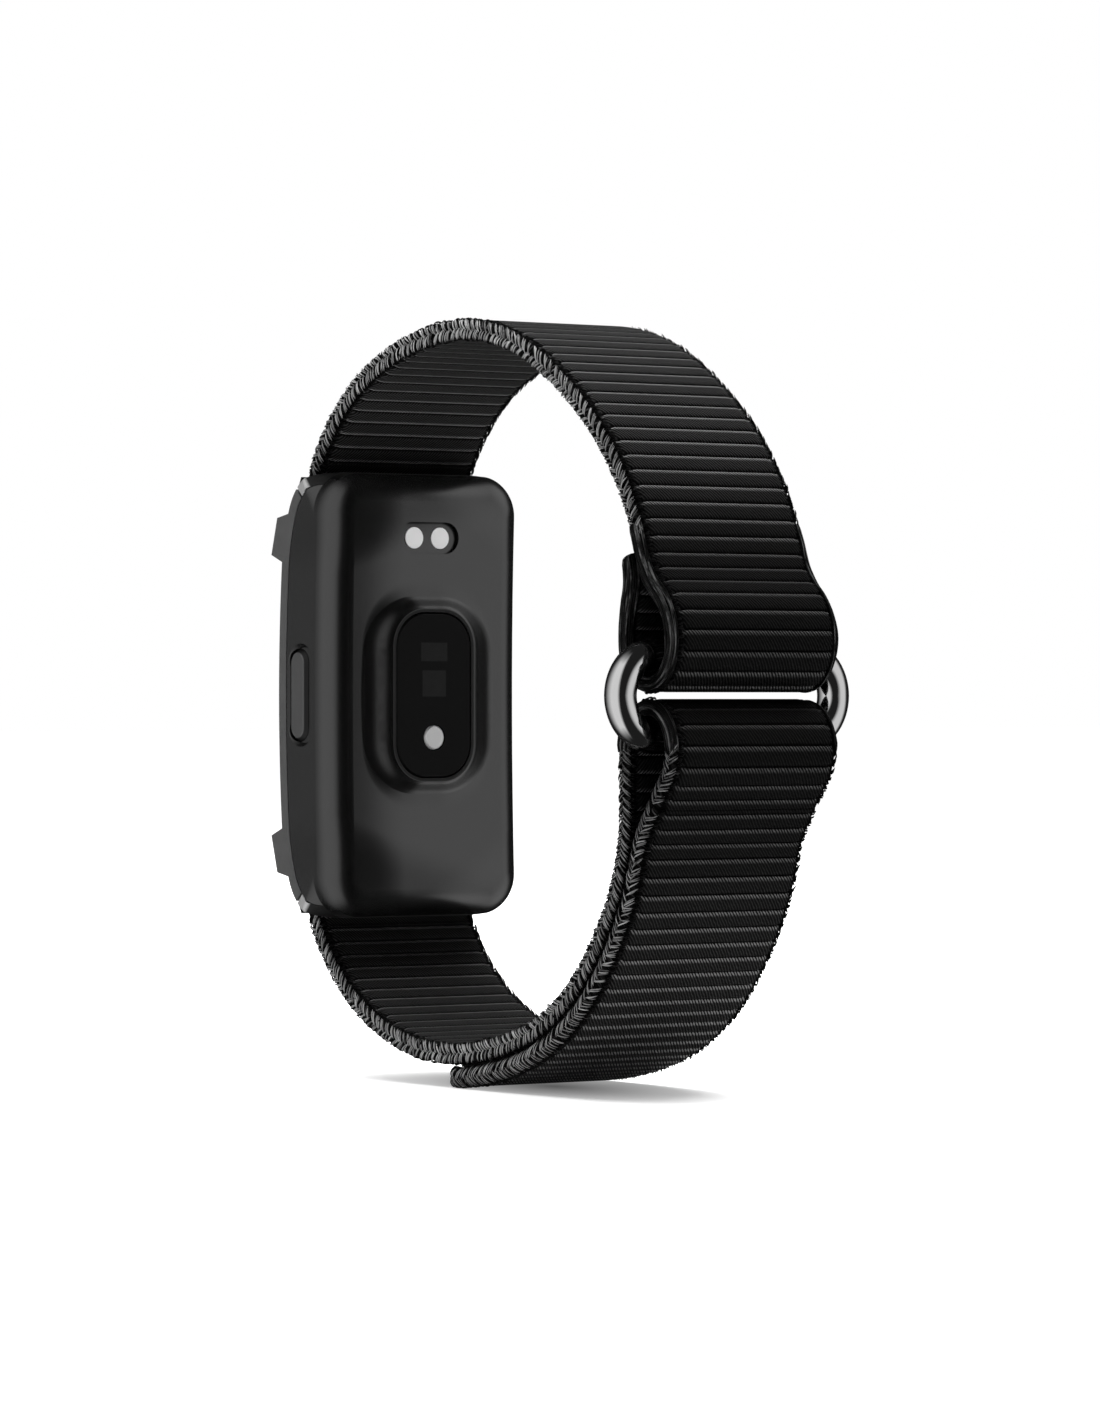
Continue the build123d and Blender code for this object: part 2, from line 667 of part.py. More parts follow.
for side, name, exit_station, plate in ((1, "upper", exit_top, plate_ends[0]),
                                        (-1, "lower", exit_foot, plate_ends[1])):
    bar_x, bar_z = bar_spots[(side + 1) // 2]
    with BuildPart() as spring_bar:
        across(bar_x, bar_z, spring_bar_radius, notch_width - 2 * link_clearance)
        across(bar_x, bar_z, spring_tip_radius, notch_width + 2 * spring_tip_length)
    finish(spring_bar, f"spring_bar_{name}")

    with BuildPart() as end_link:
        lip = (half_strap + link_lip) * side
        outer = moved_station(exit_station, lip)
        inner = moved_station(exit_station, -lip)
        back = direction(exit_station[2]) * (strap_socket + link_wall)
        set_back = direction(exit_station[2]) * link_set_back
        link_foot = case_mid_z + side * (notch_start + link_clearance)
        rear = notch_back - link_clearance
        with BuildSketch(Plane.XZ):
            with BuildLine():
                Polyline(
                    (outer[0] - set_back.X, outer[1] - set_back.Y),
                    inner[:2],
                    (rear, case_mid_z + side * (half_height - link_drop)),
                    (rear, link_foot),
                    (case_front + front_shape[2][0], link_foot),
                    (outer[0] - back.X, outer[1] - back.Y),
                    close=True,
                )
            make_face()
        extrude(amount=strap_width / 2, both=True)
        fillet(end_link.edges().filter_by(Axis.Y).group_by(Axis.X)[-1], link_round)
        with BuildPart(mode=Mode.PRIVATE) as end_plate:
            add(tracker.part)
            extrude(strip(plate, 1.0, -link_plate), amount=case_width, both=True, mode=Mode.INTERSECT)
        add(end_plate.part)
        socket = strip([socket_station(exit_station), exit_station], half_strap, -half_strap)
        extrude(socket, amount=strap_width, both=True, mode=Mode.SUBTRACT)
        across(bar_x, bar_z, spring_bar_radius + running_gap, strap_width * 2, mode=Mode.SUBTRACT)
    finish(end_link, f"end_link_{name}")

# --------------------------------------------------------------------------------------- slide ring
upper_bar_z = ring_z + ring_half
lower_bar_z = ring_z - ring_half
with BuildPart() as slide_ring:
    bend_y = (ring_length - ring_height) / 2
    for z in (lower_bar_z, upper_bar_z):
        across(ring_x, z, ring_wire, 2 * bend_y)
    for side in (-1, 1):
        with BuildSketch(Plane.XZ.offset(-side * bend_y)):
            with Locations((ring_x, upper_bar_z)):
                Circle(ring_wire)
        revolve(axis=Axis((ring_x, side * bend_y, ring_z), (-side, 0, 0)), revolution_arc=180)
finish(slide_ring, "slide_ring")

# -------------------------------------------------------------------------------------------- strap
sewn = moved_station(fold_stop, -strap_thickness - peel_gap)
upper_route = [
    socket_station(exit_top),
    exit_top,
    top_crown,
    top_shoulder,
    fold_stop,
    (ring_x + fold_half, upper_bar_z + fold_rise, -90),
    (ring_x, upper_bar_z - fold_reach, 180),
    (ring_x - fold_half, upper_bar_z + fold_rise, 90),
    turned(sewn),
]
lower_route = [
    socket_station(exit_foot),
    exit_foot,
    bottom_crown,
    bottom_shoulder,
    flap_join,
    (ring_x - fold_half, lower_bar_z - fold_rise, 90),
    (ring_x, lower_bar_z + fold_reach, 0),
    (ring_x + fold_half, lower_bar_z - fold_rise, -90),
    flap_bend,
]
lap = -strap_thickness - flap_gap
cut_step = direction(flap_bend[2]) * peel_gap
flap_route = [
    (flap_bend[0] + cut_step.X, flap_bend[1] + cut_step.Y, flap_bend[2]),
    turned(moved_station(flap_join, lap)),
    turned(moved_station(bottom_shoulder, lap)),
    turned(moved_station(bottom_crown, lap)),
]


def webbing(route):
    """A length of woven strap along a route."""
    extrude(strip(route, half_strap, -half_strap), amount=strap_width / 2, both=True)


def ring_seat(z):
    """The groove in which a bar of the ring bears, cut into the inside of its fold."""
    for x in (ring_x - ring_play, ring_x + ring_play):
        across(x, z, ring_wire + seat_gap, strap_width, mode=Mode.SUBTRACT)


with BuildPart() as upper_strap:
    webbing(upper_route)
    ring_seat(upper_bar_z - seat_depth)
finish(upper_strap, "upper_strap")

with BuildPart() as lower_strap:
    webbing(lower_route)
    ring_seat(lower_bar_z + seat_depth)
finish(lower_strap, "lower_strap")

with BuildPart() as strap_flap:
    webbing(flap_route)
    tip_edges = strap_flap.edges().filter_by(Axis.Z).sort_by(Axis.X)[:2]
    fillet(tip_edges, flap_tip_corner)
finish(strap_flap, "strap_flap")

with BuildPart() as hook_patch:
    hooks = strip(flap_route[2:], -half_strap, -half_strap - hook_thickness)
    extrude(hooks, amount=hook_width / 2, both=True)
    hook_edges = hook_patch.edges().filter_by(Axis.Z).sort_by(Axis.X)[:2]
    fillet(hook_edges, flap_tip_corner)
finish(hook_patch, "hook_patch")

pivot = moved_station(flap_bend, half_strap)
print("flap pivot", [round(v, 3) for v in pivot[:2]])
print("ring pivot", ring_x, upper_bar_z)
print("upper sewn end", [round(v, 2) for v in sewn])
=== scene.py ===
# %% [markdown]
# # A fitness tracker on a ribbed pull-through strap
#
# The lesson dresses a finished engineering model. Its rigid parts (case, bezel, button, sensor window,
# ring) are already the right shape, so they only get materials here. The woven strap is a plain slab in
# that model, so its ribs and its knitted edges are made in this script, along the same route. Lengths
# in the code are millimetres until a mesh is made, when they become metres.

# %% Load the frame
import math

import bpy
import numpy as np
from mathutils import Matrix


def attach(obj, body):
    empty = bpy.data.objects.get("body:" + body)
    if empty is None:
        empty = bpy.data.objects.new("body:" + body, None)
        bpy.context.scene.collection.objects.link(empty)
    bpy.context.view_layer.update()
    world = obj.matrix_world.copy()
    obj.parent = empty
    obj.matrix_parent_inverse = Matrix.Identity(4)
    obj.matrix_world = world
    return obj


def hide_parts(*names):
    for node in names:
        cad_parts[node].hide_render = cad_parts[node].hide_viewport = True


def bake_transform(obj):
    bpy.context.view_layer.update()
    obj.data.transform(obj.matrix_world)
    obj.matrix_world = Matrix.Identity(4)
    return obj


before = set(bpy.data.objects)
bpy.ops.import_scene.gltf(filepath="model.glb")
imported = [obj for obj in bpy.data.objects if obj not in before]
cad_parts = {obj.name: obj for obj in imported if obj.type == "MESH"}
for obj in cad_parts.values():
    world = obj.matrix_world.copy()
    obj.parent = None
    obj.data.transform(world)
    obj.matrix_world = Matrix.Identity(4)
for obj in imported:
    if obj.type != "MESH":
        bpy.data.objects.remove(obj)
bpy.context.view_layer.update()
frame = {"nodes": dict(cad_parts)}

nodes = frame["nodes"]
print("parts loaded:", len(nodes))

# %% [markdown]
# ## Camera
#
# A product picture like this is taken from far off with a long lens, so that the round loop isn't
# distorted. The camera could be aimed with a constraint, but a plain location and rotation are easier
# to read: it stands behind the tracker on the button's side, level with its middle, and is turned by
# the same angle that it is moved round.

# %% Camera
turn = math.radians(54.5)        # how far round from the side view the camera stands
distance = 0.575                 # metres
aim = (-0.0007, 0.0, 0.0384)     # the point that it looks at, in metres
tilt = math.radians(-0.09)       # a hair below level
camera_data = bpy.data.cameras.new("camera")
camera_data.sensor_width = 36
camera_data.lens = 145.57
camera_data.clip_start, camera_data.clip_end = 0.01, 20
camera = bpy.data.objects.new("camera", camera_data)
camera.location = (aim[0] + distance * math.sin(turn), aim[1] - distance * math.cos(turn), aim[2])
camera.rotation_euler = (math.radians(90) + tilt, 0, turn)
bpy.context.scene.collection.objects.link(camera)
bpy.context.scene.camera = camera
bpy.context.scene.view_settings.view_transform = "Standard"
print("camera at", [round(v, 3) for v in camera.location])

# %% [markdown]
# ## Writing materials as sums
#
# A procedural material is a small sum on numbers that change over the surface. Wiring every Math node
# by hand hides that sum, so one little class wraps a node's output and lets Python's own signs build
# the nodes: `1 - mask` makes a Subtract node. Every other node comes from one method, `Nodes.add`,
# which takes the node's type, its settings and its inputs.


# %% A socket that can be added and multiplied
class Value:
    """A number that changes over the surface: the output socket of a node."""

    def __init__(self, nodes, socket):
        self.nodes, self.socket = nodes, socket

    def math(self, operation, *others):
        """A Math node on this value and the others."""
        return self.nodes.add("ShaderNodeMath", {"operation": operation}, [self, *others])

    def __add__(self, other):
        return self.math("ADD", other)

    def __sub__(self, other):
        return self.math("SUBTRACT", other)

    def __mul__(self, other):
        return self.math("MULTIPLY", other)

    def __rsub__(self, other):
        return self.nodes.add("ShaderNodeMath", {"operation": "SUBTRACT"}, [other, self])

    def __pow__(self, other):
        return self.math("POWER", other)

    __radd__, __rmul__ = __add__, __mul__

    def wave(self, pitch):
        """A smooth wave from 0 to 1 that repeats every pitch."""
        return (self * (2 * math.pi / pitch)).math("COSINE") * 0.5 + 0.5

    def between(self, low, high, to_low=0.0, to_high=1.0, kind="LINEAR"):
        """The value moved from the range low..high to to_low..to_high, and kept inside it."""
        ranges = [self, low, high, to_low, to_high]
        return self.nodes.add("ShaderNodeMapRange", {"interpolation_type": kind}, ranges)


class Nodes:
    """A node tree, and the one method that adds a node to it."""

    def __init__(self, tree):
        self.tree = tree

    def add(self, kind, settings, inputs, output=0):
        """Adds a node, sets it up, joins or sets its inputs, and gives one of its outputs."""
        node = self.tree.nodes.new(kind)
        for key, value in settings.items():
            setattr(node, key, value)
        pairs = inputs.items() if isinstance(inputs, dict) else enumerate(inputs)
        for key, value in pairs:
            if isinstance(value, Value):
                self.tree.links.new(value.socket, node.inputs[key])
            else:
                node.inputs[key].default_value = value
        return Value(self, node.outputs[output])

    def split(self, vector):
        """The three numbers of a vector."""
        return [self.add("ShaderNodeSeparateXYZ", {}, [vector], axis) for axis in range(3)]

    def noise(self, x, y, z, scale=1.0, detail=2.0, roughness=0.5):
        """Noise at the point x, y, z."""
        vector = self.add("ShaderNodeCombineXYZ", {}, [x, y, z])
        return self.add("ShaderNodeTexNoise", {},
                        {"Vector": vector, "Scale": scale, "Detail": detail, "Roughness": roughness})

    def colours(self, share, dark, light):
        """One colour to the other as share goes from 0 to 1. A Mix node has sockets for every kind of
        data: those for colours are numbers 6 and 7 on the way in and 2 on the way out."""
        mixed = {0: share, 6: (*dark, 1.0), 7: (*light, 1.0)}
        return self.add("ShaderNodeMix", {"data_type": "RGBA"}, mixed, 2)

    def seen(self, by_camera, by_mirror, by_others):
        """One of three numbers: for rays from the camera, for those from a mirror or through glass, and
        for all others."""
        camera, glossy, through = (self.add("ShaderNodeLightPath", {}, [], ray) for ray in
                                   ("Is Camera Ray", "Is Glossy Ray", "Is Transmission Ray"))
        mirror = (glossy + through).math("MINIMUM", 1.0)
        others = (1 - camera - mirror).math("MAXIMUM", 0.0)
        return camera * by_camera + mirror * by_mirror + others * by_others


class Mat(Nodes):
    """A material with its Principled shader."""

    def __init__(self, name, **constants):
        self.material = bpy.data.materials.new(name)
        self.material.use_nodes = True
        super().__init__(self.material.node_tree)
        self.shader = self.tree.nodes["Principled BSDF"]
        for socket, value in constants.items():
            value = (*value, 1.0) if isinstance(value, tuple) else value
            self.shader.inputs[socket.replace("_", " ")].default_value = value

    def surface(self, name):
        """A vector stored at the points of the mesh, split into its three numbers."""
        return self.split(self.add("ShaderNodeAttribute", {"attribute_name": name}, [], "Vector"))

    def place(self):
        """Where the surface is, in millimetres."""
        return [axis * 1000 for axis in self.split(self.add("ShaderNodeTexCoord", {}, [], "Object"))]

    def relief(self, height, depth_mm):
        """Bumps the surface by a height from 0 to 1 that stands for depth_mm."""
        bumps = {"Strength": 1.0, "Distance": depth_mm / 1000, "Height": height}
        return self.link(Normal=self.add("ShaderNodeBump", {}, bumps))

    def link(self, **values):
        """Joins values to the shader's sockets, whose names are written with underscores here."""
        for socket, value in values.items():
            self.tree.links.new(value.socket, self.shader.inputs[socket.replace("_", " ")])
        return self


def grey(level):
    """The linear brightness of a grey that shows as level out of 255."""
    share = level / 255
    linear = share / 12.92 if share <= 0.04045 else ((share + 0.055) / 1.055) ** 2.4
    return (linear,) * 3


print("a grey of 100 has the linear value", round(grey(100)[0], 3))

# %% [markdown]
# ## Floor, backdrop and lights
#
# The tracker stands on a white sweep that fades into a white background, with only a soft contact
# shadow. A real sweep is overlit until it clips, but that would also flood the object. Here the
# background is white only where the camera looks at it, and the lamps stay at a plain level. Mirrors
# see a studio with a white wall on either side and a dimmer gap between them, because polished metal
# only looks like metal when it has something dark to show. No wall is brighter than white. The floor
# adds its own white, less and less towards the strap, so that the shadow stays.

# %% World and floor
world_fill = 0.06           # what lights the object from all round
world = bpy.data.worlds.new("studio")
bpy.context.scene.world = world
world.use_nodes = True
studio = Nodes(world.node_tree)
background = studio.tree.nodes["Background"]
background.inputs["Color"].default_value = (1, 1, 1, 1)


def band(angle, start, stop, soft=9.0):
    """1 while an angle in degrees is between start and stop, with soft ends."""
    return angle.between(start - soft, start + soft) * angle.between(stop + soft, stop - soft)


toward_x, toward_y, toward_z = studio.split(studio.add("ShaderNodeTexCoord", {}, [], "Generated"))
facing = toward_x * math.sin(turn) - toward_y * math.cos(turn)
leftward = toward_x * -math.cos(turn) - toward_y * math.sin(turn)
round_left = leftward.math("ARCTAN2", facing) * (180 / math.pi)
lift = toward_z.math("ABSOLUTE")
left_wall = band(round_left, 14, 122) * round_left.between(115, 70, 0.2, 1.0)
slanted = round_left + lift * 55         # the right wall's ends lie further round above and below
right_wall = slanted.between(-110, -90) * slanted.between(-30, -58)
right_wall = right_wall * lift.between(0.15, 0.5, 0.93, 1.0)
wall_white, gap_level = 0.98, 0.02
studio_level = (left_wall + right_wall) * lift.between(0.98, 0.8) * wall_white + gap_level
level = studio.seen(1.0, studio_level, world_fill)
studio.tree.links.new(level.socket, background.inputs["Strength"])

floor_mesh = bpy.data.meshes.new("floor")
reach = 6.0                 # metres from the middle to each side
corners = [(-reach, -reach, 0), (reach, -reach, 0), (reach, reach, 0), (-reach, reach, 0)]
floor_mesh.from_pydata(corners, [], [(0, 1, 2, 3)])
floor = bpy.data.objects.new("floor", floor_mesh)
bpy.context.scene.collection.objects.link(floor)
floor.visible_glossy = False     # mirrors see the studio's walls go on below it
sweep = Mat("sweep", Base_Color=(0.8, 0.8, 0.8), Roughness=1.0, Specular_IOR_Level=0.0,
            Emission_Strength=1.0)
x, y, _ = sweep.place()
sideways = x * math.cos(turn) + y * math.sin(turn)
nearer = x * math.sin(turn) - y * math.cos(turn)
shade_width, shade_depth, shade_slant = 26, 48, 0.3      # the oval round the foot, which keeps its shadow
across_foot = (sideways - nearer * shade_slant) * (1 / shade_width)
from_foot = (across_foot**2 + (nearer * (1 / shade_depth)) ** 2) ** 0.5
own_white = from_foot.between(-0.3, 1.25, kind="SMOOTHSTEP") * sweep.seen(1.0, 0.0, 0.0)
sweep.link(Emission_Color=sweep.colours(own_white, grey(0), grey(255)))
floor_mesh.materials.append(sweep.material)


def softbox(name, place, target, width, height, power):
    """A rectangular lamp at a place, facing a target, all in metres."""
    data = bpy.data.lights.new(name, "AREA")
    data.shape, data.size, data.size_y, data.energy = "RECTANGLE", width, height, power
    lamp = bpy.data.objects.new(name, data)
    lamp.location = place
    direction = np.array(target) - np.array(place)
    flat = math.hypot(direction[0], direction[1])
    lamp.rotation_euler = (math.atan2(flat, -direction[2]), 0, math.atan2(-direction[0], direction[1]))
    lamp.visible_glossy = False
    bpy.context.scene.collection.objects.link(lamp)


middle = (0.0, 0.0, 0.04)
softbox("overhead", (-0.08, 0.12, 0.75), middle, 0.8, 0.8, 15.0)
softbox("left_front", (-0.45, -0.6, 0.4), middle, 0.4, 0.5, 0.8)

# %% [markdown]
# ## The route of the webbing
#
# The band is one long strip that leaves the case, rounds the loop, goes through the ring and comes
# back. Its line could be a spline through many points, but webbing held in folds bends in arcs, and a
# few stations with headings say the same with far less: between two stations the line is a pair of arcs
# that meet smoothly.

# %% Route
half_thick = 1.0
ring_x, upper_bar, lower_bar = 28.7, 43.0, 35.0
fold_half, fold_reach, fold_rise = 3.75, 2.7, 1.2
exit_top, exit_foot = (-29.4, 61.85, 62.5), (-29.4, 16.35, -62.5)
fold_stop = (27.43, 53.0, -72.5)
flap_join, flap_bend = (24.5, 24.0, 77.0), (29.7, 28.7, -125.0)
bottom_shoulder, bottom_crown = (19.05, 13.6, 51.7), (-6.0, 3.35, 0.0)
flap_lap = -2.35


def unit(heading):
    """The unit vector of a heading in degrees."""
    return np.array([math.cos(math.radians(heading)), math.sin(math.radians(heading))])


def shift(station, ahead=0.0, left=0.0, turned=False):
    """A station moved along its heading and to the left of it, and turned round if asked."""
    x, z, heading = station
    place = np.array([x, z]) + ahead * unit(heading) + left * unit(heading + 90)
    return (*place, heading + 180 if turned else heading)


class Route:
    """A chain of arcs through stations (x, z, heading). Between two stations run two arcs: each is
    tangent to the heading at its own end, and they meet half way between the points where those
    headings, followed for an equal reach, end."""

    def __init__(self, stations):
        points, headings = [np.array(stations[0][:2])], [unit(stations[0][2])]
        for x, z, heading in stations[1:]:
            start, leave, end, arrive = points[-1], headings[-1], np.array([x, z]), unit(heading)
            chord = end - start
            along, bend = chord @ (leave + arrive), 1 - leave @ arrive
            if bend < 1e-9:
                out = chord @ chord / (2 * along)
            else:
                out = (math.sqrt(along**2 + 2 * bend * (chord @ chord)) - along) / (2 * bend)
            near, far = start + leave * out, end - arrive * out
            points += [(near + far) / 2, end]
            headings += [(far - near) / np.linalg.norm(far - near), arrive]
        self.points = np.array(points[:-1])
        chords = np.diff(np.array(points), axis=0)
        self.angles = np.arctan2([h[1] for h in headings[:-1]], [h[0] for h in headings[:-1]])
        spans = np.linalg.norm(chords, axis=1)
        swing = np.arctan2(chords[:, 1], chords[:, 0]) - self.angles
        swing = (swing + math.pi) % (2 * math.pi) - math.pi
        self.curves = 2 * np.sin(swing) / spans
        self.starts = np.concatenate([[0], np.cumsum(spans / np.sinc(swing / math.pi))])
        self.length = self.starts[-1]
        self.stations = self.starts[::2]

    def at(self, s):
        """The point and the heading, in radians, at the distances s along the route: on an arc of
        curvature k the heading grows by k times the distance, and the point moves by the differences of
        its sine and cosine over k."""
        arc = np.clip(np.searchsorted(self.starts, s, "right") - 1, 0, len(self.curves) - 1)
        angle, curve = self.angles[arc], self.curves[arc]
        further = s - self.starts[arc]
        safe = np.where(abs(curve) < 1e-9, 1e-9, curve)
        ahead = angle + safe * further
        x = self.points[arc, 0] + (np.sin(ahead) - np.sin(angle)) / safe
        z = self.points[arc, 1] - (np.cos(ahead) - np.cos(angle)) / safe
        return x, z, ahead


upper = Route([
    shift(exit_top, ahead=-1.5),
    exit_top,
    (-3.0, 75.4, 0.0),
    (19.65, 65.2, -43.0),
    fold_stop,
    (ring_x + fold_half, upper_bar + fold_rise, -90.0),
    (ring_x, upper_bar - fold_reach, 180.0),
    (ring_x - fold_half, upper_bar + fold_rise, 90.0),
    shift(fold_stop, left=-2.1, turned=True),
])
lower = Route([
    shift(exit_foot, ahead=-1.5),
    exit_foot,
    bottom_crown,
    bottom_shoulder,
    flap_join,
    (ring_x - fold_half, lower_bar - fold_rise, 90.0),
    (ring_x, lower_bar + fold_reach, 0.0),
    (ring_x + fold_half, lower_bar - fold_rise, -90.0),
    flap_bend,
])
flap = Route([
    shift(flap_bend, ahead=0.1),
    shift(flap_join, left=flap_lap, turned=True),
    shift(bottom_shoulder, left=flap_lap, turned=True),
    shift(bottom_crown, left=flap_lap, turned=True),
])
for name, route in (("upper", upper), ("lower", lower), ("flap", flap)):
    print(name, "strap length (mm):", round(route.length, 1), "stations at", route.stations.round(1))

# %% [markdown]
# ## From a grid of points to a mesh
#
# Every soft piece here is a grid: rows along the route and columns round its section. Blender can loft
# curves, but a grid worked out with numpy gives each point its place in the weave as well, and that is
# what the materials need. The section closes on itself, both ends get a cap, and if the solid's signed
# volume comes out negative every face is turned round.


# %% Grid to mesh
def tube_mesh(name, grids, marks):
    """Joins closed tubes into one object. grids are arrays rows x columns x 3 in millimetres, marks the
    same with the three numbers that each point keeps for its material. Each also keeps its level over
    the floor."""
    points, faces, stored = [], [], []
    count = 0
    for grid, mark in zip(grids, marks):
        rows, columns = grid.shape[:2]
        index = count + np.arange(rows * columns).reshape(rows, columns)
        here, on = index[:-1], index[1:]
        quads = np.stack([here, np.roll(here, -1, 1), np.roll(on, -1, 1), on], -1).reshape(-1, 4)
        first, last = count + rows * columns, count + rows * columns + 1
        caps = [np.stack([np.full(columns, first), np.roll(index[0], -1), index[0], index[0]], -1),
                np.stack([np.full(columns, last), index[-1], np.roll(index[-1], -1), index[-1]], -1)]
        corners = np.concatenate([grid.reshape(-1, 3), [grid[0].mean(0), grid[-1].mean(0)]])
        a, b, c, d = (corners[quads[:, i] - count] for i in range(4))
        volume = np.einsum("ij,ij->", a, np.cross(b, c) + np.cross(c, d))
        flip = slice(None, None, -1) if volume < 0 else slice(None)
        faces.append(quads[:, flip])
        faces += [cap[:, :3][:, flip] for cap in caps]
        points.append(corners)
        stored.append(np.concatenate([mark.reshape(-1, 3), [mark[0].mean(0), mark[-1].mean(0)]]))
        count += len(corners)
    points, stored = np.concatenate(points) / 1000, np.concatenate(stored)
    sizes = np.concatenate([np.full(len(f), f.shape[1]) for f in faces])
    loops = np.concatenate([f.ravel() for f in faces])
    mesh = bpy.data.meshes.new(name)
    mesh.vertices.add(len(points))
    mesh.vertices.foreach_set("co", points.ravel())
    mesh.loops.add(len(loops))
    mesh.loops.foreach_set("vertex_index", loops)
    mesh.polygons.add(len(sizes))
    mesh.polygons.foreach_set("loop_start", np.concatenate([[0], np.cumsum(sizes)[:-1]]))
    mesh.polygons.foreach_set("use_smooth", np.ones(len(sizes), bool))
    mesh.update(calc_edges=True)
    mesh.attributes.new("weave", "FLOAT_VECTOR", "POINT").data.foreach_set("vector", stored.ravel())
    mesh.attributes.new("level", "FLOAT", "POINT").data.foreach_set("value", points[:, 2] * 1000)
    piece = bpy.data.objects.new(name, mesh)
    bpy.context.scene.collection.objects.link(piece)
    print(name, "has", len(sizes), "faces")
    return piece


# %% [markdown]
# ## Ribbed webbing
#
# The strap is woven with a cord laid across it every 1.75 mm. Each cord lifts the cloth into a
# flat-topped bar with a rounded end, and between two bars the cloth dips into a narrow groove. A
# texture could fake that, but the ribs show on the outline of the loop and catch the light one by one,
# so they are real shape: a height over the two directions of the strip. The fine threads that wrap each
# rib are left to the material.

# %% Ribs
rib_pitch = 1.75
rib_height = 0.34
rib_end = 8.7              # where a rib stops on the button side, from the middle of the strap
rib_end_more = 0.45        # how much further it runs on the other side
rib_end_round = 1.0
edge_line = 9.02           # the fine cord beside the knitted edge
edge_line_height = 0.12
rib_steps = np.array([0.0, 0.025, 0.05, 0.09, 0.14, 0.22, 0.36, 0.5, 0.64, 0.78, 0.86, 0.91, 0.95, 0.975])
face_half = np.array([0.7, 2.1, 3.5, 4.9, 6.3, 7.3, 7.8, 8.05,        # the columns of half a face
                      8.25, 8.42, 8.56, 8.68, 8.78, 8.92, 9.02, 9.12])
edge_section = np.array([(9.3, 0.84), (9.56, 0.55), (9.66, 0.0), (9.56, -0.55), (9.3, -0.84)])


def rib_profile(s, y, ribs_from, ribs_to, phase):
    """Height of the cloth above its ground: the square root of one minus the sum of two powers, the
    fifth power of the distance from the rib's middle line and the power of two and a half of how far
    the point is into its rounded end, so a rib is a bar with a flat top and soft shoulders. Past the
    ribs the cloth is half as high."""
    share = ((s - phase) / rib_pitch) % 1.0
    beyond = abs(y) - rib_end - rib_end_more * (y > 0)
    end = np.clip(beyond / rib_end_round + 1, 0, None)
    full = np.clip(1 - abs(2 * share - 1) ** 5 - end**2.5, 0, None) ** 0.5
    ribbed = (s >= ribs_from) & (s <= ribs_to)
    return rib_height * np.where(ribbed, full, 0.5 * np.clip(1 - end**3, 0, None))


def tip_width(s, length, corner):
    """Half width of a strip whose end has rounded corners: a quarter circle over the last stretch."""
    into = np.clip(s - (length - corner), 0, corner)
    return 10.0 - corner + np.sqrt(corner**2 - into**2) if corner else np.full_like(s, 10.0)


def webbing(name, route, outward, ribs_from, ribs_to, phase=0.0, corner=0.0):
    """A closed strip of ribbed cloth along a route. outward is 1 where the outside lies left of the
    headings, and -1 where it lies right."""
    counted = np.arange(-1, math.ceil(route.length / rib_pitch) + 1)
    s = ((counted[:, None] + rib_steps) * rib_pitch + phase).ravel()
    s = np.unique(np.concatenate([[0, route.length], s[(s > 0.01) & (s < route.length - 0.01)]]))
    if corner:
        s = np.unique(np.concatenate([s, route.length - corner * (1 - np.sin(np.linspace(0, 1.5, 12)))]))
    face = np.concatenate([-face_half[::-1], face_half])
    y = np.concatenate([face, edge_section[:, 0], face[::-1], -edge_section[::-1, 0]])
    flat = np.ones(len(face))
    side = np.concatenate([flat, edge_section[:, 1], -flat, edge_section[::-1, 1]])
    on_face = abs(side) == 1
    along, across = np.meshgrid(s, y, indexing="ij")
    ground = half_thick - rib_height
    line = edge_line_height * (abs(abs(across) - edge_line) < 0.01)
    height = ground + rib_profile(along, across, ribs_from, ribs_to, phase) + line
    lift = np.where(on_face, height * side, side) * outward
    width = tip_width(s, route.length, corner)[:, None]
    x, z, angle = (v[:, None] for v in route.at(s))
    grid = np.stack([x - lift * np.sin(angle), across * width / 10, z + lift * np.cos(angle)], -1)
    marks = np.stack([along - phase, across, np.broadcast_to(side, along.shape)], -1)
    return tube_mesh(name, [grid], [marks])


upper_cloth = webbing("upper_strap_cloth", upper, 1, ribs_from=3.2, ribs_to=upper.length - 1.2)
lower_cloth = webbing("lower_strap_cloth", lower, -1, ribs_from=3.2, ribs_to=lower.length + 1)
flap_corner = 3.0
flap_phase = -((lower.length + 0.1) % rib_pitch)       # the flap's ribs go on where the lower strap's end
flap_cloth = webbing("flap_cloth", flap, 1, ribs_from=-1.0, ribs_to=flap.length - 2.2, phase=flap_phase,
                     corner=flap_corner)

# %% [markdown]
# ## The knitted edge
#
# Both long edges are overcast with thick yarn, which lies in small bundles of three strands. Two
# bundles start at the faces, cross in the middle of the edge and take turns along it, and two shorter
# ones go back out under them. On the button side dark ones wrap over both faces beside the ribs. A bump
# on a plain edge would stay smooth on the outline, where the strands show best, so each strand is a
# small spindle of its own: a few dozen faces, thick in the middle, pointed at both ends and bowed
# outwards. Chance moves every one a little, and gives it a number for its own tone. Each point also
# keeps how far it faces away from the core of the edge, and the yarn's colour uses it as a painted
# highlight and painted shade: light where the yarn faces out, dark on its flanks.

# %% Knitting
knot_pitch = 1.0           # along the strap
strand_step = 0.2          # from one strand of a bundle to the next
spindle_radius = 0.1
spindle_tip = 0.2          # the share of it that stays at both tips
start_chance, advance_chance, lift_chance, depth_chance = 0.07, 0.17, 0.06, 0.05
